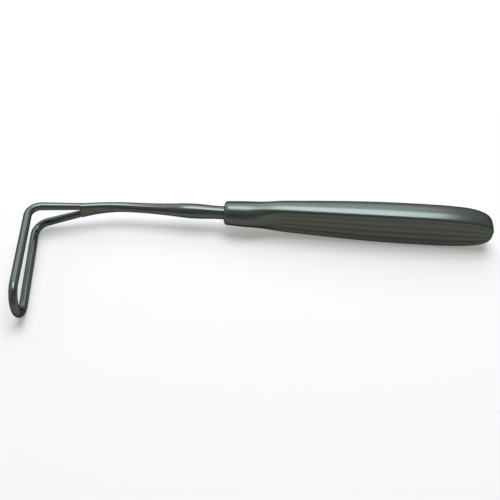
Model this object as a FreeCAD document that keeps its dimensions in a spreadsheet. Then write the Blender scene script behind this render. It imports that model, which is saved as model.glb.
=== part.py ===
import FreeCAD, Part
import math
import os

Vector = FreeCAD.Vector

doc = FreeCAD.newDocument("loop_retractor")


# Driving sizes in millimetres and degrees
sheet = doc.addObject("Spreadsheet::Sheet", "Sizes")
sizes = {}


def size(alias, value, note):
    """Write one driving size with its note on the next free row of the sheet."""
    row = len(sizes) + 1
    sheet.set("A%d" % row, alias)
    sheet.set("B%d" % row, str(value))
    sheet.set("C%d" % row, note)
    sheet.setAlias("B%d" % row, alias)
    sizes[alias] = value


# The stem: places are measured from the handle's front face, along the axis towards the loop
TANG_DIAMETER = 5.8
TANG_LENGTH = 24.0
TANG_POINT = 1.5
NECK_DIAMETER = 6.4
NECK_LENGTH = 2.0
SWELL_RISE = 0.85
SWELL_PLACE = 16.5
SWELL_CURVE = 120.0
WAIST_DIAMETER = 4.85
STEM_STRAIGHT = 44.2
size("tang_diameter", TANG_DIAMETER, "round tang that is brazed into the handle")
size("tang_length", TANG_LENGTH, "from the stem's shoulder to the tang's end")
size("tang_point", TANG_POINT, "cone at the tang's end")
size("neck_diameter", NECK_DIAMETER, "stem where it leaves the handle")
size("neck_length", NECK_LENGTH, "straight stretch before the swelling starts")
size("swell_rise", SWELL_RISE, "how much thicker the swelling is than the neck")
size("swell_place", SWELL_PLACE, "middle of the swelling")
size("swell_curve", SWELL_CURVE, "radius of the swelling's outline")
size("waist_diameter", WAIST_DIAMETER, "thinnest place of the stem")
size("stem_straight", STEM_STRAIGHT, "length of the straight, turned stretch")

# The root: the stem dips, flattens and is split into a fork
DIP_ANGLE = 13.8
DIP_RADIUS = 90.0
ROOT_WIDTH = 8.4
ROOT_THICKNESS = 4.1
ROOT_CROWN = 0.12
ROOT_SIDE = 1.65
ROOT_OFFSET = 0.3
SLOT_PLACE = 69.6
size("dip_angle", DIP_ANGLE, "how far the fork leans from the axis to the blade's side")
size("dip_radius", DIP_RADIUS, "centre line radius of that bend")
size("root_width", ROOT_WIDTH, "flattened root, across the fork")
size("root_thickness", ROOT_THICKNESS, "flattened root, the other way")
size("root_crown", ROOT_CROWN, "how far its broad faces bulge")
size("root_side", ROOT_SIDE, "how far its narrow sides bulge")
size("root_offset", ROOT_OFFSET, "how far the flattened root stands proud of the prongs on the blade's side")
size("slot_place", SLOT_PLACE, "bottom of the fork's slot")

# The loop: two prongs, two bends, two legs and the round tip
PRONG_REACH = 2.6
PRONG_SPREAD = 3.98
PRONG_DIAMETER = 3.35
WIRE_DIAMETER = 3.83
BEND_PLACE = 91.7
BEND_SPREAD = 13.8
BEND_RADIUS = 6.8
BLADE_ANGLE = 97.3
BLADE_DEPTH = 54.3
TIP_RADIUS = 8.4
size("prong_reach", PRONG_REACH, "how far the prongs' centre lines start inside the root")
size("prong_spread", PRONG_SPREAD, "between the prongs' centre lines there")
size("prong_diameter", PRONG_DIAMETER, "prongs at the root")
size("wire_diameter", WIRE_DIAMETER, "bends, legs and tip")
size("bend_place", BEND_PLACE, "corner of the bend, before rounding")
size("bend_spread", BEND_SPREAD, "between the centre lines at that corner")
size("bend_radius", BEND_RADIUS, "centre line radius of the bends")
size("blade_angle", BLADE_ANGLE, "legs against the handle's axis")
size("blade_depth", BLADE_DEPTH, "corner of the bend to the tip's centre line")
size("tip_radius", TIP_RADIUS, "centre line radius of the round tip")

# The handle: sections across its axis, measured between the edges of the broad faces
HANDLE_LENGTH = 127.7
FERRULE_FRONT = 11.5
FERRULE_BACK = 12.5
FERRULE_LENGTH = 10.0
FERRULE_EDGE = 1.2
NECK_PLACE = 30.0
GRIP_WIDTH_FRONT = 15.7
GRIP_WIDTH = 19.7
GRIP_PLACE = 90.0
GRIP_THICK_FRONT = 7.5
GRIP_THICKNESS = 9.6
THICK_PLACE = 88.0
BUTT_START = 104.0
EDGE_CROWN = 0.6
EDGE_BLEND = 0.9
FLUTE_DEPTH = 0.35
FLUTE_LEAD = 4.5
FLUTE_RUN = 6.0
BUTT_POWER = 2.95
HEEL_POWER = 6.0
BUTT_FLAT = 0.05
BROAD_CROWN = 0.1
WALL = 0.7
PLUG_LENGTH = 8.0
OVERLAP = 0.5
size("handle_length", HANDLE_LENGTH, "ferrule's face to the butt")
size("ferrule_front", FERRULE_FRONT, "diameter of the ferrule at its face")
size("ferrule_back", FERRULE_BACK, "diameter where the flats start")
size("ferrule_length", FERRULE_LENGTH, "round stretch of the handle")
size("ferrule_edge", FERRULE_EDGE, "rounding of the ferrule's front edge")
size("neck_place", NECK_PLACE, "end of the transition from round to flat")
size("grip_width_front", GRIP_WIDTH_FRONT, "broad face where the flutes start")
size("grip_width", GRIP_WIDTH, "broad face at its widest")
size("grip_place", GRIP_PLACE, "widest place of the grip")
size("grip_thick_front", GRIP_THICK_FRONT, "thickness where the flutes start")
size("grip_thickness", GRIP_THICKNESS, "thickness at the palm")
size("thick_place", THICK_PLACE, "where the full thickness is reached")
size("butt_start", BUTT_START, "where the thickness starts to round off to the butt")
size("edge_crown", EDGE_CROWN, "how far each narrow side stands proud of the flat edges")
size("edge_blend", EDGE_BLEND, "rounding between narrow side and broad face")
size("flute_depth", FLUTE_DEPTH, "depth of each flute")
size("flute_lead", FLUTE_LEAD, "how far before the neck's end the flutes start")
size("flute_run", FLUTE_RUN, "length over which they reach their depth")
size("butt_power", BUTT_POWER, "exponent of the rounded butt's outline")
size("heel_power", HEEL_POWER, "the same on the blade's side, where the butt stays blunt")
size("butt_flat", BUTT_FLAT, "small flat that closes the butt")
size("broad_crown", BROAD_CROWN, "how far the broad faces bulge under their flutes")
size("wall", WALL, "sheet of the hollow handle")
size("plug_length", PLUG_LENGTH, "solid front of the ferrule around the tang")
size("overlap", OVERLAP, "how far neighbouring hollows reach into each other")
doc.recompute()

# Four flutes on each broad face; the flat edges run out into the ferrule at this angle round the axis
FLUTES = 4
# Flats that make up the hollow of one flute
FLUTE_FLATS = 4
ARRIS_ANGLE = math.radians(60)
# Middle of a quarter round, between the middle of its chord and the corner
ROUND_PULL = math.sqrt(2) - 1
# Most of the half thickness that a blend may take
BLEND_SHARE = 0.4
# Steps between the sections of the handle's outside
OUTER_STEPS = {"neck": 4, "grip": 3, "butt": 6}
# Steps between the sections of its hollow
INNER_STEPS = {"neck": 2, "grip": 2, "butt": 4}
# Steps between the sections of the root, and of the ferrule's rounded edge
ROOT_STEPS = 6
EDGE_STEPS = 3


def get(alias):
    return float(sheet.get(alias))


def bind(thing, prop, expression):
    thing.setExpression(prop, expression)


def quadratic(start, middle, end):
    """The circular arc through three points, as one rational curve of the second degree."""
    arc = Part.Arc(start, middle, end)
    half = (arc.LastParameter - arc.FirstParameter) / 2
    top = arc.value(arc.FirstParameter + half)
    centre = arc.toShape().Curve.Center
    pole = centre + (top - centre) * (1 / math.cos(half))
    curve = Part.BSplineCurve()
    weights = [1.0, math.cos(half), 1.0]
    curve.buildFromPolesMultsKnots([start, pole, end], [3, 3], [0.0, 1.0], False, 2, weights)
    return curve.toShape()


def hold(name, shape):
    """A document object for a curve or section that other features are built on."""
    thing = doc.addObject("Part::Feature", name)
    thing.Shape = shape
    return thing


# Stem: turned profile with tangent arcs, revolved round the axis together with its tang
neck_r = get("neck_diameter") / 2
swell_r = (get("neck_diameter") + get("swell_rise")) / 2
waist_r = get("waist_diameter") / 2
swell_x = get("swell_place")
curve_r = get("swell_curve")


def tangent_arcs(flat_x, flat_r):
    """Where the swelling's arc meets the hollow arc that ends level at (flat_x, flat_r)."""
    run = flat_x - swell_x
    drop = swell_r - flat_r
    both = (run * run + drop * drop) / (2 * drop)
    hollow = both - curve_r
    share = curve_r / both
    meet = Vector(-(swell_x + run * share), swell_r - curve_r + (both - drop) * share, 0)
    turn = math.asin(abs(run) / both) / 2
    side = math.copysign(1, run)
    middle_x = -(flat_x - side * hollow * math.sin(turn))
    middle_r = flat_r + hollow * (1 - math.cos(turn))
    return meet, Vector(middle_x, middle_r, 0)


neck_end = get("neck_length")
stem_end = get("stem_straight")
neck_meet, neck_middle = tangent_arcs(neck_end, neck_r)
waist_meet, waist_middle = tangent_arcs(stem_end, waist_r)
tang_r = get("tang_diameter") / 2
tang_end = get("tang_length")
point = get("tang_point")
profile = [
    Vector(tang_end, 0, 0),
    Vector(tang_end, tang_r - point / 2, 0),
    Vector(tang_end - point, tang_r, 0),
    Vector(0, tang_r, 0),
    Vector(0, neck_r, 0),
    Vector(-neck_end, neck_r, 0),
]
stem_body = doc.addObject("PartDesign::Body", "StemBody")
stem_sketch = stem_body.newObject("Sketcher::SketchObject", "StemProfile")
plane = [f for f in stem_body.Origin.OriginFeatures if f.Role == "XY_Plane"][0]
stem_sketch.AttachmentSupport = (plane, [""])
stem_sketch.MapMode = "FlatFace"
for first, second in zip(profile, profile[1:]):
    stem_sketch.addGeometry(Part.LineSegment(first, second), False)
stem_sketch.addGeometry(Part.Arc(profile[-1], neck_middle, neck_meet), False)
stem_sketch.addGeometry(Part.Arc(neck_meet, Vector(-swell_x, swell_r, 0), waist_meet), False)
stem_sketch.addGeometry(Part.Arc(waist_meet, waist_middle, Vector(-stem_end, waist_r, 0)), False)
stem_sketch.addGeometry(Part.LineSegment(Vector(-stem_end, waist_r, 0), Vector(-stem_end, 0, 0)), False)
stem_sketch.addGeometry(Part.LineSegment(Vector(-stem_end, 0, 0), profile[0]), False)
stem = stem_body.newObject("PartDesign::Revolution", "StemTurning")
stem.Profile = stem_sketch
stem.ReferenceAxis = (stem_sketch, ["H_Axis"])
stem.Angle = 360.0
doc.recompute()


# Root: sections carried along the dip, round at the waist and flat at the slot
dip = math.radians(get("dip_angle"))
dip_r = get("dip_radius")
dip_start = stem_end
dip_end_x = dip_start + dip_r * math.sin(dip)
dip_end_y = dip_r * (1 - math.cos(dip))
lean = Vector(-math.cos(dip), -math.sin(dip), 0)


def on_stem(place):
    """Centre line point and direction at a distance from the handle, along the axis."""
    if place <= dip_start:
        return Vector(-place, 0, 0), Vector(-1, 0, 0)
    if place < dip_end_x:
        turn = math.asin((place - dip_start) / dip_r)
        along = Vector(-math.cos(turn), -math.sin(turn), 0)
        return Vector(-place, -dip_r * (1 - math.cos(turn)), 0), along
    further = place - dip_end_x
    return Vector(-place, -dip_end_y - further * math.tan(dip), 0), lean


def flattened(place, share):
    """Section of the root: four arcs, the stem's circle at share 0 and a crowned flat at share 1."""
    middle, along = on_stem(place)
    wide = Vector(0, 0, 1)
    deep = along.cross(wide)
    middle = middle - deep * (get("root_offset") * share ** 2)
    half_w = waist_r + (get("root_width") / 2 - waist_r) * share ** 2
    half_t = waist_r + (get("root_thickness") / 2 - waist_r) * share
    corner_w = waist_r * math.sqrt(0.5) * (1 - share) + (half_w - get("root_side")) * share
    corner_t = waist_r * math.sqrt(0.5) * (1 - share) + (half_t - get("root_crown")) * share

    def at(w, t):
        return middle + wide * w + deep * t

    return Part.Wire([
        quadratic(at(-corner_w, corner_t), at(0, half_t), at(corner_w, corner_t)),
        quadratic(at(corner_w, corner_t), at(half_w, 0), at(corner_w, -corner_t)),
        quadratic(at(corner_w, -corner_t), at(0, -half_t), at(-corner_w, -corner_t)),
        quadratic(at(-corner_w, -corner_t), at(-half_w, 0), at(-corner_w, corner_t)),
    ])


slot_x = get("slot_place")
root_sections = []
for step in range(ROOT_STEPS + 1):
    share = step / ROOT_STEPS
    place = stem_end + (slot_x - stem_end) * share
    root_sections.append(hold("RootSection%d" % step, flattened(place, share)))
root = doc.addObject("Part::Loft", "Root")
root.Sections = root_sections
root.Solid = True
root.Ruled = True


# Loop: prongs, bends, legs and tip on one centre line, mirrored across the level plane
prong_place, prong_along = on_stem(slot_x - get("prong_reach"))
corner_x = get("bend_place")
corner_place, corner_along = on_stem(corner_x)
blade = math.radians(get("blade_angle"))
down = Vector(-math.cos(blade), -math.sin(blade), 0)
up = Vector(0, 0, 1)
corner_half = get("bend_spread") / 2
tip_r = get("tip_radius")
tip_centre_at = get("blade_depth") - tip_r
tip_centre = corner_place + down * tip_centre_at
spread = math.asin(tip_r / math.hypot(corner_half, tip_centre_at)) - math.atan2(corner_half, tip_centre_at)
bend_r = get("bend_radius")


def side_of_loop(side):
    """Start, bend and leg points of one prong: side is 1 for the upper one and -1 for the lower."""
    start = prong_place + up * (side * get("prong_spread") / 2)
    corner = corner_place + up * (side * corner_half)
    touch = tip_centre + down * (-tip_r * math.sin(spread)) + up * (side * tip_r * math.cos(spread))
    along = (corner - start).normalize()
    away = (touch - corner).normalize()
    half = along.getAngle(away) / 2
    cut = bend_r * math.tan(half)
    into = corner - along * cut
    out = corner + away * cut
    middle = corner + (away - along).normalize() * (bend_r / math.cos(half) - bend_r)
    return start, along, into, middle, out, touch


start_a, along_a, into_a, middle_a, out_a, touch_a = side_of_loop(1)
start_b, along_b, into_b, middle_b, out_b, touch_b = side_of_loop(-1)
tip = tip_centre + down * tip_r
spine_edges = [
    Part.Arc(into_a, middle_a, out_a).toShape(),
    Part.LineSegment(out_a, touch_a).toShape(),
    Part.Arc(touch_a, tip, touch_b).toShape(),
    Part.LineSegment(touch_b, out_b).toShape(),
    Part.Arc(out_b, middle_b, into_b).toShape(),
]
spine_wire = Part.Wire(spine_edges)
spine = hold("LoopCentreLine", spine_wire)
wire_section = doc.addObject("Part::Circle", "WireSection")
bind(wire_section, "Radius", "Sizes.wire_diameter / 2")
wire_section.Placement = FreeCAD.Placement(into_a, FreeCAD.Rotation(Vector(0, 0, 1), along_a))
loop = doc.addObject("Part::Sweep", "Loop")
loop.Sections = [wire_section]
loop.Spine = (spine, ["Edge%d" % (n + 1) for n in range(len(spine_edges))])
loop.Solid = True
loop.Frenet = False


def prong_cone(name, start, along, into):
    """Slightly tapered prong from the root to the start of its bend."""
    prong = doc.addObject("Part::Cone", name)
    bind(prong, "Radius1", "Sizes.prong_diameter / 2")
    bind(prong, "Radius2", "Sizes.wire_diameter / 2")
    prong.Height = (into - start).Length
    prong.Placement = FreeCAD.Placement(start, FreeCAD.Rotation(Vector(0, 0, 1), along))
    return prong


upper_prong = prong_cone("UpperProng", start_a, along_a, into_a)
lower_prong = prong_cone("LowerProng", start_b, along_b, into_b)
doc.recompute()

loop_blade = doc.addObject("Part::MultiFuse", "LoopBlade")
loop_blade.Shapes = [stem_body, root, upper_prong, lower_prong, loop]
loop_blade.Refine = False
loop_blade.Label = "loop_blade"
doc.recompute()


# Handle: each section is the same closed outline of arcs, from the round ferrule to the rounded butt
def ease(share):
    """Smooth step from 0 to 1."""
    share = min(max(share, 0.0), 1.0)
    return share * share * (3 - 2 * share)


def swelling(x, front, full, place):
    """Quarter sine from the neck to the full size, which it reaches level."""
    share = min(max((x - get("neck_place")) / (place - get("neck_place")), 0.0), 1.0)
    return front + (full - front) * math.sin(share * math.pi / 2)


def rounding(x, start, end, power):
    """Share of the full size that the rounded butt leaves at x."""
    share = min(max((x - start) / (end - start), 0.0), 1.0)
    return (1 - share ** power) ** (1 / power)


def handle_outline(x, inset):
    """Half sizes of the handle at x: edge height and depth, crowns of the narrow and the broad sides, how
    far it is formed, how full it still is and where its middle lies."""
    end = get("handle_length") - inset
    round_r = get("ferrule_back") / 2
    formed = ease((x - get("ferrule_length")) / (get("neck_place") - get("ferrule_length")))
    lift = min(max((x - get("ferrule_length")) / (get("neck_place") - get("ferrule_length")), 0.0), 1.0)
    lift = (lift + formed) / 2
    front_half = round_r * math.sin(ARRIS_ANGLE)
    front_deep = round_r * math.cos(ARRIS_ANGLE)
    edge_z = front_half + (get("grip_width_front") / 2 - front_half) * lift
    edge_y = front_deep + (get("grip_thick_front") / 2 - front_deep) * lift
    if x > get("neck_place"):
        edge_z = swelling(x, get("grip_width_front") / 2, get("grip_width") / 2, get("grip_place"))
        edge_y = swelling(x, get("grip_thick_front") / 2, get("grip_thickness") / 2, get("thick_place"))
    narrow = (round_r - front_half) * (1 - formed) + get("edge_crown") * formed
    broad = (round_r - front_deep) * (1 - formed) + get("broad_crown") * formed
    across = rounding(x, get("grip_place"), end, get("butt_power"))
    back = rounding(x, get("butt_start"), end, get("butt_power"))
    heel = rounding(x, get("butt_start"), end, get("heel_power"))
    full = (back + heel) / 2
    middle = (edge_y - inset) * (back - heel) / 2
    return (edge_z - inset) * across, (edge_y - inset) * full, narrow * across, broad * full, formed, full, middle


def crowned(half, rise, offset):
    """How far an arc of this half span and rise stands above its ends, at an offset from its middle."""
    arc_r = (half * half + rise * rise) / (2 * rise)
    return rise - arc_r + math.sqrt(arc_r * arc_r - offset * offset)


def handle_section(x):
    """Closed outline across the axis at x, as arcs: narrow sides, blends and the fluted broad faces."""
    edge_z, edge_y, narrow, broad, formed, full, shift = handle_outline(x, 0.0)
    blend = min(get("edge_blend"), edge_y * BLEND_SHARE)
    pull = 1 - (1 - ROUND_PULL) * formed
    along = ease((x - flute_start) / get("flute_run"))
    depth = get("flute_depth") * along * full

    def narrow_at(y):
        return edge_z + crowned(edge_y, narrow, y)

    def broad_at(z):
        return edge_y + crowned(edge_z, broad, z)

    flats = FLUTES * FLUTE_FLATS
    flute_step = 2 * (edge_z - blend) / flats

    def fluted_at(n):
        """Broad face at the nth corner of its flutes, each of them hollowed like a parabola."""
        off_middle = 2 * (n % FLUTE_FLATS) / FLUTE_FLATS - 1
        return broad_at(edge_z - blend - flute_step * n) - depth * (1 - off_middle * off_middle)

    def at(y, z):
        return Vector(x, y + shift, z)

    outline = []

    def arc(*points):
        outline.append(quadratic(*[at(y, z) for y, z in points]))

    def corner_arc(side_y, side_z, outwards):
        """Blend between the narrow side and the broad face at one of the four edges."""
        on_narrow = (side_y * (edge_y - blend), side_z * narrow_at(edge_y - blend))
        on_broad = (side_y * broad_at(edge_z - blend), side_z * (edge_z - blend))
        corner = (side_y * edge_y, side_z * edge_z)
        ends_and_corner = zip(on_narrow, on_broad, corner)
        middle = tuple((p + q) / 2 * (1 - pull) + r * pull for p, q, r in ends_and_corner)
        ends = (on_narrow, on_broad) if outwards else (on_broad, on_narrow)
        arc(ends[0], middle, ends[1])

    for side in (-1, 1):
        # From the top narrow side round the front face, then from the bottom one round the back face
        top = -side
        arc((-side * (edge_y - blend), top * narrow_at(edge_y - blend)), (0, top * narrow_at(0)),
            (side * (edge_y - blend), top * narrow_at(edge_y - blend)))
        corner_arc(side, top, True)
        ridge = [at(side * fluted_at(n), top * (edge_z - blend - flute_step * n)) for n in range(flats + 1)]
        for first, second in zip(ridge, ridge[1:]):
            outline.append(Part.LineSegment(first, second).toShape())
        corner_arc(side, -top, False)
    return Part.Wire(outline)


def hollow_section(x, inset):
    """The same outline one wall further in, with eight straight sides."""
    edge_z, edge_y, narrow, broad, formed, full, shift = handle_outline(x, inset)
    corners = [(edge_y, edge_z), (edge_y + broad, 0), (edge_y, -edge_z), (0, -edge_z - narrow)]
    corners += [(-y, -z) for y, z in corners]
    return Part.makePolygon([Vector(x, y + shift, z) for y, z in corners + corners[:1]])


def stations(start, end, steps):
    """Places of the sections: even steps along the grip, closer together at the neck and the butt."""
    neck = get("neck_place")
    widest = get("grip_place")
    butt = get("butt_start")
    places = [start + (neck - start) * n / steps["neck"] for n in range(steps["neck"])]
    places += [neck + (widest - neck) * n / steps["grip"] for n in range(steps["grip"])]
    places.append(widest)
    for n in range(steps["butt"]):
        places.append(butt + (end - butt) * math.sin(n / steps["butt"] * math.pi / 2))
    places.append(end - get("butt_flat"))
    return places


length = get("handle_length")
flute_start = get("neck_place") - get("flute_lead")
outer_sections = []
for n, place in enumerate(stations(get("ferrule_length"), length, OUTER_STEPS)):
    outer_sections.append(hold("GripSection%02d" % n, handle_section(place)))
grip = doc.addObject("Part::Loft", "Grip")
grip.Sections = outer_sections
grip.Solid = True
grip.Ruled = True
doc.recompute()


# Ferrule: turned front, slightly tapered, with a rounded edge
front_r = get("ferrule_front") / 2
edge_r = get("ferrule_edge")
ferrule_end = get("ferrule_length")
ferrule_profile = [Vector(0, 0, 0)]
for step in range(EDGE_STEPS + 1):
    turn = step / EDGE_STEPS * math.pi / 2
    ferrule_profile.append(Vector(edge_r * (1 - math.cos(turn)), front_r - edge_r * (1 - math.sin(turn)), 0))
ferrule_profile += [Vector(ferrule_end, get("ferrule_back") / 2, 0), Vector(ferrule_end, 0, 0), Vector(0, 0, 0)]
ferrule = doc.addObject("Part::Revolution", "Ferrule")
ferrule.Source = hold("FerruleProfile", Part.makePolygon(ferrule_profile))
ferrule.Axis = Vector(1, 0, 0)
ferrule.Base = Vector(0, 0, 0)
ferrule.Angle = 360.0
ferrule.Solid = True

# Hollow: the same outline one wall further in, closed in front by the plug that holds the tang
wall = get("wall")
hollow_sections = []
for n, place in enumerate(stations(get("ferrule_length"), length - wall, INNER_STEPS)):
    hollow_sections.append(hold("HollowSection%02d" % n, hollow_section(place, wall)))
hollow = doc.addObject("Part::Loft", "Hollow")
hollow.Sections = hollow_sections
hollow.Solid = True
hollow.Ruled = True
hollow_front = doc.addObject("Part::Cylinder", "HollowFront")
bind(hollow_front, "Radius", "Sizes.ferrule_front / 2 - Sizes.wall")
bind(hollow_front, "Height", "Sizes.ferrule_length - Sizes.plug_length + Sizes.overlap")
bind(hollow_front, "Placement.Base.x", "Sizes.plug_length")
hollow_front.Placement.Rotation = FreeCAD.Rotation(Vector(0, 0, 1), Vector(1, 0, 0))
socket = doc.addObject("Part::Cylinder", "TangSocket")
bind(socket, "Radius", "Sizes.tang_diameter / 2")
bind(socket, "Height", "Sizes.plug_length + Sizes.overlap")
socket.Placement.Rotation = FreeCAD.Rotation(Vector(0, 0, 1), Vector(1, 0, 0))

shell = doc.addObject("Part::MultiFuse", "HandleOutside")
shell.Shapes = [ferrule, grip]
shell.Refine = False
inside = doc.addObject("Part::MultiFuse", "HandleInside")
inside.Shapes = [hollow, hollow_front, socket]
inside.Refine = False
hollow_handle = doc.addObject("Part::Cut", "HollowHandle")
hollow_handle.Base = shell
hollow_handle.Tool = inside
hollow_handle.Refine = False
hollow_handle.Label = "hollow_handle"
doc.recompute()


# Frame: the origin lies on the table under the middle of the instrument, which lies on its side
both = Part.makeCompound([loop_blade.Shape, hollow_handle.Shape])
box = both.optimalBoundingBox(False, False)
lying = FreeCAD.Placement(Vector(-box.Center.x, -box.Center.y, -box.ZMin), FreeCAD.Rotation())
parts = [loop_blade, hollow_handle]
for part in parts:
    part.Placement = lying
doc.recompute()

for thing in doc.Objects:
    if "Invalid" in thing.State or "Error" in thing.State:
        raise RuntimeError("%s failed: %s" % (thing.Label, thing.State))
for part in parts:
    if part.Shape.isNull() or not part.Shape.isValid() or len(part.Shape.Solids) != 1:
        raise RuntimeError("%s is not one valid solid" % part.Label)

os.makedirs("parts", exist_ok=True)
for part in parts:
    part.Shape.exportStep(os.path.join("parts", part.Label + ".step"))
    extent = part.Shape.optimalBoundingBox(False, False)
    print(part.Label, "volume %.1f" % part.Shape.Volume, extent)
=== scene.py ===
import math

import bpy
import numpy as np
from mathutils import Matrix, Vector


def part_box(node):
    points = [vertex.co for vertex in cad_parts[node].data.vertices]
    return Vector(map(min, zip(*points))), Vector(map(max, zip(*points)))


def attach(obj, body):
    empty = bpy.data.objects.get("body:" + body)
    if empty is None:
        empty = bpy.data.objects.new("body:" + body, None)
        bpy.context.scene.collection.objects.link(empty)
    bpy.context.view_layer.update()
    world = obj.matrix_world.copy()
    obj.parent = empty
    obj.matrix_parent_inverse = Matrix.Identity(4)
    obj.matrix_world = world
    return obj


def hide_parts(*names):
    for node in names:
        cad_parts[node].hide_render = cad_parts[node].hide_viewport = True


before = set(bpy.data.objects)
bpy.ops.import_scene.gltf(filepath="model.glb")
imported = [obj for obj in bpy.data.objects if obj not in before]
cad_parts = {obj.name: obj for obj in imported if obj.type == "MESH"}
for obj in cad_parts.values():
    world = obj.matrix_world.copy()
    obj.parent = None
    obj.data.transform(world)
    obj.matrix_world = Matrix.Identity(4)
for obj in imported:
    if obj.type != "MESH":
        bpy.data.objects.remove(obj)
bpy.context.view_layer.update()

# Stem and root
# One forging of martensitic stainless steel. The stem is turned: a short neck at the ferrule, a swelling and
# a waist. Behind the waist it dips, is hammered flat into the root, and ends where the fork's slot starts.
NECK_R, SWELL_R, WAIST_R, SWELL_CURVE = 3.2, 3.625, 2.425, 95.0
NECK_END, SWELL_X, STEM_END, SLOT_X, IN_FERRULE = 2.0, 14.5, 44.2, 69.6, 2.0
DIP_ANGLE, DIP_R = math.radians(13.8), 90.0
ROOT_W, ROOT_T, ROOT_SIDE, ROOT_CROWN, ROOT_OFFSET, ROOT_EDGE = 8.4, 4.1, 1.65, 0.12, 0.3, 0.35
DIP_END = STEM_END + DIP_R * math.sin(DIP_ANGLE)
STEM_RINGS, ROOT_RINGS, ROUND_RINGS, FLAT_RINGS, ARC_POINTS, LAST_GAP = 170, 130, 10, 11, 24, 0.03
# Lengths are in millimetres from the start of the straight axis that handle and stem share, the middle of
# the ferrule's front face. +X runs to the butt, -Y to the blade's side, and Z through the grip's width
MM = 0.001
handle_low, handle_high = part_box("hollow_handle")
AXIS = np.array([handle_low.x, (handle_low.y + handle_high.y) / 2, (handle_low.z + handle_high.z) / 2])


def arc(half, rise, share):
    """A circular arc on a chord from -half to +half that rises by rise over its middle. With the half angle
    phi = 2 atan(rise / half), a point at angle a lies at (half sin a / sin phi) along the chord and at
    rise (cos a - cos phi) / (1 - cos phi) over it. share runs from 0 to 1 along the arc. phi is kept off 0,
    where a flat arc would divide by nothing."""
    phi = 2 * np.arctan(rise / half)
    phi = np.where(np.abs(phi) < 1e-3, 1e-3, phi)
    angle = (2 * share - 1) * phi
    return half * np.sin(angle) / np.sin(phi), rise * (np.cos(angle) - np.cos(phi)) / (1 - np.cos(phi))


def stem_radius(x):
    """Radius at a distance x from the ferrule: level at the neck, then the hollow arc that meets the
    swelling's arc on a common tangent, the swelling's arc, and the hollow arc that ends level at the waist.
    For a run a and a drop d between the level ends of two such arcs, their radii add up to
    (a a + d d) / 2d."""
    def side(flat_x, flat_r):
        run, drop = flat_x - SWELL_X, SWELL_R - flat_r
        both = (run * run + drop * drop) / (2 * drop)
        hollow = both - SWELL_CURVE
        meet = SWELL_X + run * SWELL_CURVE / both
        return meet, flat_r + hollow - np.sqrt(np.maximum(hollow ** 2 - (x - flat_x) ** 2, 0))
    neck_meet, neck_arc = side(NECK_END, NECK_R)
    waist_meet, waist_arc = side(STEM_END, WAIST_R)
    swelling = SWELL_R - SWELL_CURVE + np.sqrt(SWELL_CURVE ** 2 - (x - SWELL_X) ** 2)
    return np.select([x < NECK_END, x < neck_meet, x < waist_meet, x < STEM_END],
                     [np.full_like(x, NECK_R), neck_arc, swelling, waist_arc], WAIST_R)


def centre_line(x):
    """Middle of the stem and the fork at x: on the axis, then an arc of radius DIP_R that sinks by
    DIP_R (1 - cos turn), then straight on at DIP_ANGLE. Gives the points and the unit direction to the
    loop."""
    turn = np.arcsin(np.clip((x - STEM_END) / DIP_R, 0, math.sin(DIP_ANGLE)))
    further = np.maximum(x - DIP_END, 0)
    y = -DIP_R * (1 - np.cos(turn)) - further * math.tan(DIP_ANGLE)
    middle = np.stack([-x, y, np.zeros_like(x)], axis=-1)
    along = np.stack([-np.cos(turn), -np.sin(turn), np.zeros_like(x)], axis=-1)
    return middle, along


def oval_rings(x, half_w, half_t, corner_w, corner_t, offset, points):
    """Rings of four arcs across the centre line: two broad ones that rise to half_t over corner_t and two
    narrow ones that rise to half_w over corner_w. They are one circle where the corners lie at 45 degrees."""
    share = np.arange(points) / points
    half_w, half_t, corner_w, corner_t = (v[:, None] for v in (half_w, half_t, corner_w, corner_t))
    broad_w, broad_t = arc(corner_w, half_t - corner_t, share)
    narrow_t, narrow_w = arc(corner_t, half_w - corner_w, share)
    wide = np.concatenate([broad_w, corner_w + narrow_w, -broad_w, -corner_w - narrow_w], axis=1)
    deep = np.concatenate([corner_t + broad_t, -narrow_t, -corner_t - broad_t, narrow_t], axis=1)
    middle, along = centre_line(x)
    level = np.array([0.0, 0.0, 1.0])
    out = np.cross(along, level)
    middle = (middle - out * offset[:, None])[:, None]
    return middle + level * wide[..., None] + out[:, None] * deep[..., None]


def skin(name, rings):
    """A smooth surface through a grid of points in millimetres from the axis's start: rings[i, j] is point j
    of ring i. Each ring closes on itself, faces join each ring to the next, and the first and last ring,
    which have shrunk to nearly a point, are closed by a fan to their middle."""
    count, across = rings.shape[:2]
    points = rings.reshape(-1, 3)
    ends = np.stack([rings[0].mean(axis=0), rings[-1].mean(axis=0)])
    here = np.arange(count * across).reshape(count, across)
    beside = np.roll(here, -1, axis=1)
    quads = np.stack([here[:-1], beside[:-1], beside[1:], here[1:]], axis=-1).reshape(-1, 4)
    first, last = count * across, count * across + 1
    front_fan = np.stack([np.full(across, first), beside[0], here[0]], axis=-1)
    back_fan = np.stack([np.full(across, last), here[-1], beside[-1]], axis=-1)
    mesh = bpy.data.meshes.new(name)
    vertices = (np.concatenate([points, ends]) * MM + AXIS).tolist()
    mesh.from_pydata(vertices, [], quads.tolist() + front_fan.tolist() + back_fan.tolist())
    mesh.polygons.foreach_set("use_smooth", np.ones(len(mesh.polygons), dtype=bool))
    mesh.update()
    piece = bpy.data.objects.new(name, mesh)
    bpy.context.scene.collection.objects.link(piece)
    return piece


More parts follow.
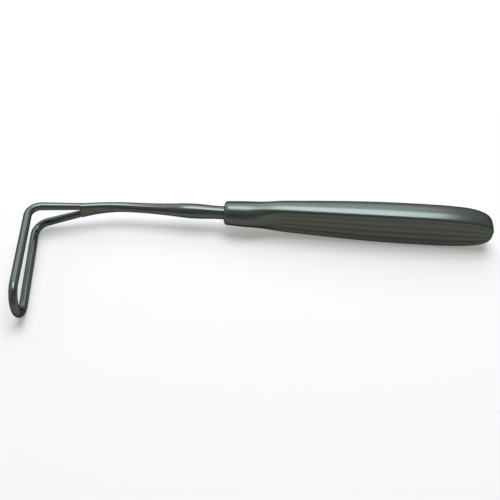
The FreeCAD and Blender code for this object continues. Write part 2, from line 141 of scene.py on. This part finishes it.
# From the waist to the slot the corners of the round section move out to those of the flat root
share = np.linspace(0, 1, ROOT_RINGS)
stem_x = np.concatenate([np.linspace(-IN_FERRULE, STEM_END, STEM_RINGS),
                         STEM_END + (SLOT_X - STEM_END) * share[1:]])
flat = np.clip((stem_x - STEM_END) / (SLOT_X - STEM_END), 0, 1)
radius = stem_radius(stem_x)
half_w = radius + (ROOT_W / 2 - WAIST_R) * flat ** 2
half_t = radius + (ROOT_T / 2 - WAIST_R) * flat
corner_w = radius * math.sqrt(0.5) * (1 - flat) + (half_w - ROOT_SIDE) * flat
corner_t = radius * math.sqrt(0.5) * (1 - flat) + (half_t - ROOT_CROWN) * flat
offset = ROOT_OFFSET * flat ** 2
# The root's end is rounded over by ROOT_EDGE and closed by a flat: rings that draw in along a quarter circle
turn = np.linspace(0, math.pi / 2, ROUND_RINGS)
drawn = np.concatenate([ROOT_EDGE * (1 - np.cos(turn)),
                        np.linspace(ROOT_EDGE, ROOT_T / 2 - LAST_GAP, FLAT_RINGS + 1)[1:]])
end_x = SLOT_X - ROOT_EDGE + np.concatenate([ROOT_EDGE * np.sin(turn), np.full(FLAT_RINGS, ROOT_EDGE)])
keep = stem_x < SLOT_X - ROOT_EDGE
ratio = 1 - drawn / (ROOT_T / 2)
stem_x = np.concatenate([stem_x[keep], end_x])
half_w = np.concatenate([half_w[keep], half_w[-1] * ratio + (half_w[-1] - half_t[-1]) * (1 - ratio) * ratio])
half_t = np.concatenate([half_t[keep], half_t[-1] * ratio])
corner_w = np.concatenate([corner_w[keep], corner_w[-1] * ratio])
corner_t = np.concatenate([corner_t[keep], corner_t[-1] * ratio])
offset = np.concatenate([offset[keep], np.full(len(end_x), offset[-1])])
stem = skin("stem_and_root", oval_rings(stem_x, half_w, half_t, corner_w, corner_t, offset, ARC_POINTS)[::-1])


def srgb(code):
    """A hex colour as linear light, with alpha 1."""
    parts = [int(code[n:n + 2], 16) / 255 for n in (1, 3, 5)]
    return [c / 12.92 if c <= 0.04045 else ((c + 0.055) / 1.055) ** 2.4 for c in parts] + [1.0]


def add(tree, kind, links=None, **settings):
    """Adds a node, sets its fields or sockets by name, and links {input: output socket}."""
    made = tree.nodes.new(kind)
    for field, value in settings.items():
        if hasattr(made, field):
            setattr(made, field, value)
        else:
            made.inputs[field.replace("_", " ")].default_value = value
    for socket, source in (links or {}).items():
        tree.links.new(source, made.inputs[socket])
    return made


# Sizes of the finish in millimetres. Beads of about 0.1 mm leave dimples of a few hundredths of a
# millimetre, too fine to show, so the grain is drawn about ten times as coarse. Grinding by hand leaves
# waves about 8 mm long, and passivating and handling leave cloudy patches about 11 mm wide
GRAIN, WAVE, CLOUD = 0.3846, 8.333, 11.11
GRAIN_HEIGHT, WAVE_HEIGHT, GRAIN_STRENGTH, WAVE_STRENGTH = 0.01, 0.04, 0.3, 0.35
METALLIC, EDGE_TINT, COLOUR_SPREAD, GLOSS_SPREAD = 0.86, "#707070", 0.08, 0.04


def satin_steel(name, colour, roughness):
    """Steel with its fine grain, its hand ground waves and faint cloudiness in colour and gloss, each a noise
    with 1 / (size in metres) cells to the metre. The grain scatters a little light as a dull surface does, so
    it isn't a full metal."""
    made = bpy.data.materials.new(name)
    made.use_nodes = True
    tree = made.node_tree
    shader = tree.nodes["Principled BSDF"]
    shader.inputs["Metallic"].default_value = METALLIC
    shader.inputs["Specular Tint"].default_value = srgb(EDGE_TINT)
    place = add(tree, "ShaderNodeTexCoord").outputs["Object"]
    grain = add(tree, "ShaderNodeTexNoise", {"Vector": place}, Scale=1 / (GRAIN * MM), Detail=2.0)
    wave = add(tree, "ShaderNodeTexNoise", {"Vector": place}, Scale=1 / (WAVE * MM), Detail=1.5)
    cloud = add(tree, "ShaderNodeTexNoise", {"Vector": place}, Scale=1 / (CLOUD * MM), Detail=3.0)
    tint = add(tree, "ShaderNodeMix", {"Factor": cloud.outputs["Fac"]}, data_type="RGBA")
    tint.inputs["A"].default_value = [c * (1 - COLOUR_SPREAD) for c in srgb(colour)[:3]] + [1.0]
    tint.inputs["B"].default_value = [c * (1 + COLOUR_SPREAD) for c in srgb(colour)[:3]] + [1.0]
    tree.links.new(tint.outputs["Result"], shader.inputs["Base Color"])
    gloss = add(tree, "ShaderNodeMapRange", {"Value": cloud.outputs["Fac"]},
                To_Min=roughness - GLOSS_SPREAD, To_Max=roughness + GLOSS_SPREAD)
    tree.links.new(gloss.outputs["Result"], shader.inputs["Roughness"])
    waves = add(tree, "ShaderNodeBump", {"Height": wave.outputs["Fac"]},
                Distance=WAVE_HEIGHT * MM, Strength=WAVE_STRENGTH)
    bump = add(tree, "ShaderNodeBump", {"Height": grain.outputs["Fac"], "Normal": waves.outputs["Normal"]},
               Distance=GRAIN_HEIGHT * MM, Strength=GRAIN_STRENGTH)
    tree.links.new(bump.outputs["Normal"], shader.inputs["Normal"])
    return made


# Martensitic stainless steel, ground and then blasted with fine glass beads: dark grey where it mirrors no
# lamp, with a dull, even sheen without lines and soft, narrow highlights that waver a little
blade_steel = satin_steel("bead_blasted_stainless_steel", "#4f534b", 0.155)
stem.data.materials.append(blade_steel)
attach(stem, "root")
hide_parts("loop_blade")


# Fork and loop
# The two prongs of the same forging and steel, drawn out round, bent down together and closed by a round tip.
# The wire thickens a little from the root to the bend and is even from there.
PRONG_START, PRONG_SPREAD, PRONG_R, WIRE_R = 67.0, 3.98, 1.675, 1.915
BEND_X, BEND_SPREAD, BEND_R = 91.7, 13.8, 6.8
BLADE_ANGLE, BLADE_DEPTH, TIP_R = math.radians(97.3), 54.3, 8.4
PRONG_STEPS, BEND_STEPS, LEG_STEPS, TIP_STEPS, WIRE_POINTS, NEARLY_SHUT = 60, 60, 120, 90, 48, 0.02

level = np.array([0.0, 0.0, 1.0])
start = centre_line(np.array([PRONG_START]))[0][0] + level * PRONG_SPREAD / 2
corner_middle = centre_line(np.array([BEND_X]))[0][0]
corner = corner_middle + level * BEND_SPREAD / 2
down = np.array([-math.cos(BLADE_ANGLE), -math.sin(BLADE_ANGLE), 0.0])
# The leg runs from the corner to where it touches the tip's circle
to_tip = BLADE_DEPTH - TIP_R
tip_middle = corner_middle + down * to_tip
lean = math.asin(TIP_R / math.hypot(BEND_SPREAD / 2, to_tip)) - math.atan2(BEND_SPREAD / 2, to_tip)
touch = tip_middle - down * (TIP_R * math.sin(lean)) + level * (TIP_R * math.cos(lean))
# The bend's arc touches prong and leg at a distance of BEND_R tan(half the turn) from the corner
along = (corner - start) / np.linalg.norm(corner - start)
away = (touch - corner) / np.linalg.norm(touch - corner)
half_bend = math.acos(float(along @ away)) / 2
cut = BEND_R * math.tan(half_bend)
inner = (away - along) / np.linalg.norm(away - along)
bend_middle = corner + inner * BEND_R / math.cos(half_bend)


def run(a, b, count):
    """Points from a to b, without the last: a + (b - a) n / count."""
    return a + (b - a) * (np.arange(count) / count)[:, None]


sweep = np.linspace(-half_bend, half_bend, BEND_STEPS + 1)[:-1, None]
bisector = (along + away) / np.linalg.norm(along + away)
bend = bend_middle - inner * BEND_R * np.cos(sweep) + bisector * BEND_R * np.sin(sweep)
round_the_tip = np.linspace(math.pi / 2 + lean, 0, TIP_STEPS + 1)[:-1, None]
tip_half = tip_middle + down * TIP_R * np.cos(round_the_tip) + level * TIP_R * np.sin(round_the_tip)
prong = run(start, corner - along * cut, PRONG_STEPS)
leg = run(corner + away * cut, touch, LEG_STEPS)
upper_half = np.concatenate([prong, bend, leg, tip_half])
bottom = tip_middle + down * TIP_R
mirror = np.array([1.0, 1.0, -1.0])
path = np.concatenate([upper_half, bottom[None], upper_half[::-1] * mirror])
grown = np.arange(PRONG_STEPS) / PRONG_STEPS
even = np.full(len(upper_half) - PRONG_STEPS, WIRE_R)
half_r = np.concatenate([PRONG_R + (WIRE_R - PRONG_R) * grown, even])
wire_r = np.concatenate([half_r, [WIRE_R], half_r[::-1]])


def tube_rings(path, radii, points):
    """Rings of a round wire along a path: path + radius (side cos a + over sin a). side is the normal of the
    upright plane through the tangent, and over the direction across both. Round the tip, and one ring before
    and after it, side is the loop plane's own normal, because the tangent itself comes to stand upright."""
    tangent = np.gradient(path, axis=0)
    tangent /= np.linalg.norm(tangent, axis=1)[:, None]
    side = np.cross(tangent, level)
    half = len(path) // 2
    side[half:] *= -1
    round_tip = np.abs(np.arange(len(path)) - half) <= len(tip_half) + 1
    side[round_tip] = np.cross(down, level)
    side /= np.linalg.norm(side, axis=1)[:, None]
    over = np.cross(tangent, side)
    angle = (2 * np.pi * np.arange(points) / points)[None, :, None]
    outwards = side[:, None] * np.cos(angle) + over[:, None] * np.sin(angle)
    return path[:, None] + radii[:, None, None] * outwards


# Both ends of the wire are shut by a small ring, hidden in the root
loop_rings = tube_rings(path, wire_r, WIRE_POINTS)
closing = loop_rings[[0]] * NEARLY_SHUT + path[0] * (1 - NEARLY_SHUT)
ending = loop_rings[[-1]] * NEARLY_SHUT + path[-1] * (1 - NEARLY_SHUT)
loop = skin("fork_and_loop", np.concatenate([closing, loop_rings, ending]))
loop.data.materials.append(blade_steel)
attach(loop, "root")
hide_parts("loop_blade")


# Handle
# Hollow, of stainless sheet: two half shells pressed with four flutes each, welded along the narrow sides,
# ground flush and closed by a rounded butt. Its round front is the ferrule that holds the stem's tang.
LENGTH = 127.45
FERRULE_FRONT, FERRULE_BACK, FERRULE_LENGTH, FERRULE_EDGE = 5.75, 6.25, 10.0, 1.5
NECK_X, GRIP_X, THICK_X, BUTT_X = 30.0, 90.0, 88.0, 109.0
EDGE_Z_FRONT, EDGE_Z_FULL, EDGE_Y_FRONT, EDGE_Y_FULL = 7.25, 9.25, 4.15, 5.3
EDGE_CROWN, BROAD_CROWN, EDGE_BLEND, BLEND_SHARE, ARRIS_ANGLE = 1.2, 0.1, 1.2, 0.4, math.radians(60)
WIDTH_POWER, BUTT_POWER, HEEL_POWER = 3.1, 3.1, 9.0
FLUTES, FLUTE_DEPTH, FLUTE_START, FLUTE_RUN, RIDGE_SOFTNESS = 4, 0.17, 25.5, 6.0, 0.12
NECK_RINGS, GRIP_RINGS, BUTT_RINGS, BUTT_STEP = 60, 109, 110, 3.0
FACE_RINGS, EDGE_RINGS, CONE_RINGS, FIRST_R = 9, 14, 22, 0.05
SIDE_POINTS, BLEND_POINTS, FACE_POINTS = 16, 6, 80


def ease(share):
    """Smooth step from 0 to 1: 3 s s - 2 s s s."""
    share = np.clip(share, 0, 1)
    return share * share * (3 - 2 * share)


def butt_rounding(x, begin, power):
    """Superellipse (1 - s ** p) ** (1 / p): the share of the full size that is left at x, from 1 at begin to
    0 at the end."""
    share = np.clip((x - begin) / (LENGTH - begin), 0, 1)
    return (1 - share ** power) ** (1 / power)


def handle_rings(x):
    """Rings across the handle, each of two narrow sides (arcs), four blends and two broad faces that carry
    the flutes. Broad face: y = edge_y + its crown's arc - the flutes' depth; narrow side: z = edge_z + its
    crown's arc. At the ferrule both are arcs of one circle. At the butt all sizes shrink by the
    superellipse, more bluntly on the blade's side: the section moves there as its thickness shrinks."""
    formed = ease((x - FERRULE_LENGTH) / (NECK_X - FERRULE_LENGTH))
    lift = (np.clip((x - FERRULE_LENGTH) / (NECK_X - FERRULE_LENGTH), 0, 1) + formed) / 2
    front_z, front_y = FERRULE_BACK * math.sin(ARRIS_ANGLE), FERRULE_BACK * math.cos(ARRIS_ANGLE)
    to_grip = np.sin(np.clip((x - NECK_X) / (GRIP_X - NECK_X), 0, 1) * np.pi / 2)
    to_thick = np.sin(np.clip((x - NECK_X) / (THICK_X - NECK_X), 0, 1) * np.pi / 2)
    edge_z = front_z + (EDGE_Z_FRONT - front_z) * lift + (EDGE_Z_FULL - EDGE_Z_FRONT) * to_grip
    edge_y = front_y + (EDGE_Y_FRONT - front_y) * lift + (EDGE_Y_FULL - EDGE_Y_FRONT) * to_thick
    across, back = butt_rounding(x, GRIP_X, WIDTH_POWER), butt_rounding(x, BUTT_X, BUTT_POWER)
    heel = butt_rounding(x, BUTT_X, HEEL_POWER)
    through = (back + heel) / 2
    shift = edge_y[:, None] * (back - heel)[:, None] / 2
    narrow = ((FERRULE_BACK - front_z) * (1 - formed) + EDGE_CROWN * formed) * across
    broad = ((FERRULE_BACK - front_y) * (1 - formed) + BROAD_CROWN * formed) * through
    edge_z, edge_y = edge_z * across, edge_y * through
    blend = np.minimum(EDGE_BLEND, np.minimum(edge_y, edge_z) * BLEND_SHARE)
    depth = FLUTE_DEPTH * ease((x - FLUTE_START) / FLUTE_RUN) * through
    edge_z, edge_y, narrow, broad, blend, depth, formed = (
        v[:, None] for v in (edge_z, edge_y, narrow, broad, blend, depth, formed))

    def crown(half, rise, place):
        """Height at a place on the chord of an arc with this half chord and rise: its radius is
        (half half + rise rise) / (2 rise)."""
        arc_r = (half * half + rise * rise) / (2 * rise)
        return rise - (arc_r - np.sqrt(np.maximum(arc_r * arc_r - place * place, 0)))

    t = np.arange(SIDE_POINTS) / SIDE_POINTS
    side_y = (edge_y - blend) * (1 - 2 * t)
    side_z = edge_z + crown(edge_y, narrow, side_y)
    # Flutes: hollows of depth (2 r - r r), where r is 0 on a ridge and 1 in the middle, with eased ridges
    t = np.arange(FACE_POINTS) / FACE_POINTS
    face_z = (edge_z - blend) * (1 - 2 * t)
    off_ridge = 1 - np.abs(2 * (t * FLUTES % 1) - 1)
    rounded = np.sqrt(off_ridge ** 2 + RIDGE_SOFTNESS ** 2) - RIDGE_SOFTNESS
    face_y = edge_y + crown(edge_z, broad, face_z) - depth * (2 * rounded - rounded ** 2)
    # Blend from the narrow side to the broad face: the quadratic curve (1 - t)(1 - t) end + 2t (1 - t) pull +
    # t t start. Its middle point is drawn from the circle's tangents towards the edge as that forms
    y_end, z_end = edge_y - blend, edge_z + crown(edge_y, narrow, edge_y - blend)
    y_start, z_start = edge_y + crown(edge_z, broad, edge_z - blend), edge_z - blend
    first, last = np.arctan2(y_end, z_end), np.arctan2(y_start, z_start)
    reach = (np.hypot(y_end, z_end) + np.hypot(y_start, z_start)) / 2 / np.cos((last - first) / 2)
    pull_y = reach * np.sin((first + last) / 2) * (1 - formed) + edge_y * formed
    pull_z = reach * np.cos((first + last) / 2) * (1 - formed) + edge_z * formed

    def blended(t):
        """Points of the blend at t."""
        return (y_end * (1 - t) ** 2 + 2 * pull_y * t * (1 - t) + y_start * t ** 2,
                z_end * (1 - t) ** 2 + 2 * pull_z * t * (1 - t) + z_start * t ** 2)

    t = np.arange(BLEND_POINTS) / BLEND_POINTS
    (turn_y, turn_z), (return_y, return_z) = blended(t), blended(1 - t)
    # Clockwise seen from the stem: top narrow side, front edge, front face, lower edge, and back round
    all_y = np.concatenate([side_y, -turn_y, -face_y, -return_y, -side_y, turn_y, face_y, return_y], axis=1)
    all_z = np.concatenate([side_z, turn_z, face_z, -return_z, -side_z, -turn_z, -face_z, return_z], axis=1)
    return np.stack([np.broadcast_to(x[:, None], all_y.shape), all_y + shift, all_z], axis=-1)


# The butt's rings lie where the width has shrunk by even steps. The last is left out: a fan shuts the end
neck_x = np.linspace(FERRULE_LENGTH, NECK_X, NECK_RINGS)
fluted_x = np.linspace(NECK_X, GRIP_X, GRIP_RINGS + 1)[1:]
left = np.linspace(butt_rounding(GRIP_X + BUTT_STEP, GRIP_X, WIDTH_POWER), 0.0, BUTT_RINGS)
butt_x = GRIP_X + (LENGTH - GRIP_X) * (1 - left ** WIDTH_POWER) ** (1 / WIDTH_POWER)
body_rings = handle_rings(np.concatenate([neck_x, fluted_x, butt_x[:-1]]))
# Ferrule: the first ring's directions, scaled to the turned profile from the stem over the rounded edge
directions = body_rings[0, :, 1:] / np.linalg.norm(body_rings[0, :, 1:], axis=1)[:, None]
turn = np.linspace(0, math.pi / 2, EDGE_RINGS)
face_r = np.linspace(FIRST_R, FERRULE_FRONT - FERRULE_EDGE, FACE_RINGS + 1)[:-1]
edge_r = FERRULE_FRONT - FERRULE_EDGE * (1 - np.sin(turn))
edge_x = FERRULE_EDGE * (1 - np.cos(turn))
cone_x = np.linspace(FERRULE_EDGE, FERRULE_LENGTH, CONE_RINGS + 2)[1:-1]
cone_r = FERRULE_FRONT + (FERRULE_BACK - FERRULE_FRONT) * cone_x / FERRULE_LENGTH
ferrule_x = np.concatenate([np.zeros(FACE_RINGS), edge_x, cone_x])
ferrule_r = np.concatenate([face_r, edge_r, cone_r])
ferrule_rings = np.concatenate([
    np.broadcast_to(ferrule_x[:, None, None], (len(ferrule_x), len(directions), 1)),
    ferrule_r[:, None, None] * directions], axis=-1)
handle = skin("hollow_fluted_handle", np.concatenate([ferrule_rings, body_rings]))

# Austenitic stainless sheet, pressed, ground and satin finished: the same dark grey as the blade, but
# rougher, so that its highlights are broad and soft and fade slowly towards the butt
handle_steel = satin_steel("satin_pressed_stainless_steel", "#4f534b", 0.24)
handle.data.materials.append(handle_steel)
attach(handle, "root")
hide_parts("hollow_handle")


# Floor
# A plain table top that the instrument lies on: a board sprayed with pale matt paint, which has no gloss.
# What the camera and the steel see of it is a little whiter than its light makes it.
TABLE_HALF, WHITENED = 3.0, 0.26
floor_mesh = bpy.data.meshes.new("floor")
corners = [(-TABLE_HALF, -TABLE_HALF, 0), (TABLE_HALF, -TABLE_HALF, 0),
           (TABLE_HALF, TABLE_HALF, 0), (-TABLE_HALF, TABLE_HALF, 0)]
floor_mesh.from_pydata(corners, [], [(0, 1, 2, 3)])
floor = bpy.data.objects.new("floor", floor_mesh)
bpy.context.scene.collection.objects.link(floor)
pale = bpy.data.materials.new("matt_painted_board")
pale.use_nodes = True
tree = pale.node_tree
paint = tree.nodes["Principled BSDF"]
paint.inputs["Base Color"].default_value = srgb("#d2cabd")
paint.inputs["Roughness"].default_value = 0.9
paint.inputs["Specular IOR Level"].default_value = 0.1
ray = add(tree, "ShaderNodeLightPath")
straight = add(tree, "ShaderNodeMath", {0: ray.outputs["Is Camera Ray"], 1: ray.outputs["Is Glossy Ray"]},
               operation="MAXIMUM")
any_look = add(tree, "ShaderNodeMath", {0: straight.outputs[0], 1: ray.outputs["Is Transmission Ray"]},
               operation="MAXIMUM")
lift = add(tree, "ShaderNodeMath", {0: any_look.outputs[0]}, operation="MULTIPLY")
lift.inputs[1].default_value = WHITENED
paint.inputs["Emission Color"].default_value = srgb("#ffffff")
tree.links.new(lift.outputs[0], paint.inputs["Emission Strength"])
floor_mesh.materials.append(pale)


# Light
# A soft box overhead and a wide, weaker one behind, both a little cool, and a plain surround. The steel
# mirrors it as a studio's walls: bright behind and to the left, dark in front and to the right, and less
# dark in the middle of that dark wall.
def soft_box(name, place, aim, wide, deep, power, colour):
    """A rectangular area light at a place, aimed at a point, in metres and watts."""
    lamp = bpy.data.lights.new(name, "AREA")
    lamp.shape = "RECTANGLE"
    lamp.size, lamp.size_y = wide, deep
    lamp.energy = power
    lamp.color = srgb(colour)[:3]
    holder = bpy.data.objects.new(name, lamp)
    bpy.context.scene.collection.objects.link(holder)
    holder.location = place
    holder.rotation_euler = (Vector(aim) - Vector(place)).to_track_quat("-Z", "Y").to_euler()
    return holder


soft_box("overhead_box", (0.03, 0.23, 0.89), (0.0, 0.0, 0.0), 0.60, 0.52, 9.5, "#dfe9ff")
soft_box("back_box", (-0.26, 0.68, 0.62), (-0.26, 0.0, 0.0), 1.15, 0.45, 3.8, "#dfe9ff")

BACKWARDS = (-0.6, 0.8, 0.0)
FRONT_AT, BACK_AT, FRONT_WALL, BACK_WALL = -0.7, 0.75, 0.2, 1.45
MIDDLE_FROM, MIDDLE_TO, MIDDLE_LIFT, FILL, WHITE = -0.60, -0.72, 0.4, 0.28, 1.0
world = bpy.data.worlds.new("surround")
bpy.context.scene.world = world
world.use_nodes = True
tree = world.node_tree
tree.nodes.clear()
ray = add(tree, "ShaderNodeLightPath")
through = add(tree, "ShaderNodeMath",
              {0: ray.outputs["Is Camera Ray"], 1: ray.outputs["Is Transmission Ray"]}, operation="MAXIMUM")
direction = add(tree, "ShaderNodeTexCoord").outputs["Generated"]
facing = add(tree, "ShaderNodeVectorMath", {0: direction}, operation="DOT_PRODUCT")
facing.inputs[1].default_value = BACKWARDS
walls = add(tree, "ShaderNodeMapRange", {"Value": facing.outputs["Value"]},
            From_Min=FRONT_AT, From_Max=BACK_AT, To_Min=FRONT_WALL, To_Max=BACK_WALL)
middle = add(tree, "ShaderNodeMapRange", {"Value": facing.outputs["Value"]},
             From_Min=MIDDLE_FROM, From_Max=MIDDLE_TO, To_Max=MIDDLE_LIFT)
studio = add(tree, "ShaderNodeMath", {0: walls.outputs["Result"], 1: middle.outputs["Result"]},
             operation="ADD")
mirrored = add(tree, "ShaderNodeMapRange",
               {"Value": ray.outputs["Is Glossy Ray"], "To Max": studio.outputs[0]}, To_Min=FILL)
strength = add(tree, "ShaderNodeMapRange",
               {"Value": through.outputs[0], "To Min": mirrored.outputs["Result"]}, To_Max=WHITE)
glow = add(tree, "ShaderNodeBackground", {"Strength": strength.outputs["Result"]}, Color=srgb("#f4f7fa"))
add(tree, "ShaderNodeOutputWorld", {"Surface": glow.outputs[0]})


# Camera
# As in the photograph: from the blade's side, well above, with the ferrule near the middle of the picture.
AZIMUTH, ELEVATION, ROLL = math.radians(4.4), math.radians(52.0), math.radians(0.05)
DISTANCE, FOCAL_PX, AT_X, AT_Y, PICTURE = 344.6, 714.05, 224.5, 212.86, 500.0
back = np.array([math.sin(AZIMUTH) * math.cos(ELEVATION), -math.cos(AZIMUTH) * math.cos(ELEVATION),
                 math.sin(ELEVATION)])
flat_right = np.array([math.cos(AZIMUTH), math.sin(AZIMUTH), 0.0])
flat_up = np.cross(back, flat_right)
right = math.cos(ROLL) * flat_right + math.sin(ROLL) * flat_up
up = -math.sin(ROLL) * flat_right + math.cos(ROLL) * flat_up
to_axis = (AT_X - PICTURE / 2) / FOCAL_PX * right - (AT_Y - PICTURE / 2) / FOCAL_PX * up - back
eye = AXIS - to_axis * DISTANCE * MM
camera = bpy.data.cameras.new("camera")
camera.sensor_width = 36.0
camera.lens = FOCAL_PX / PICTURE * camera.sensor_width
camera.clip_start, camera.clip_end = 0.01, 20.0
camera_holder = bpy.data.objects.new("camera", camera)
bpy.context.scene.collection.objects.link(camera_holder)
turned = Matrix((right, up, back)).transposed().to_4x4()
camera_holder.matrix_world = Matrix.Translation(Vector(eye)) @ turned
bpy.context.scene.camera = camera_holder
bpy.context.scene.view_settings.view_transform = "Standard"
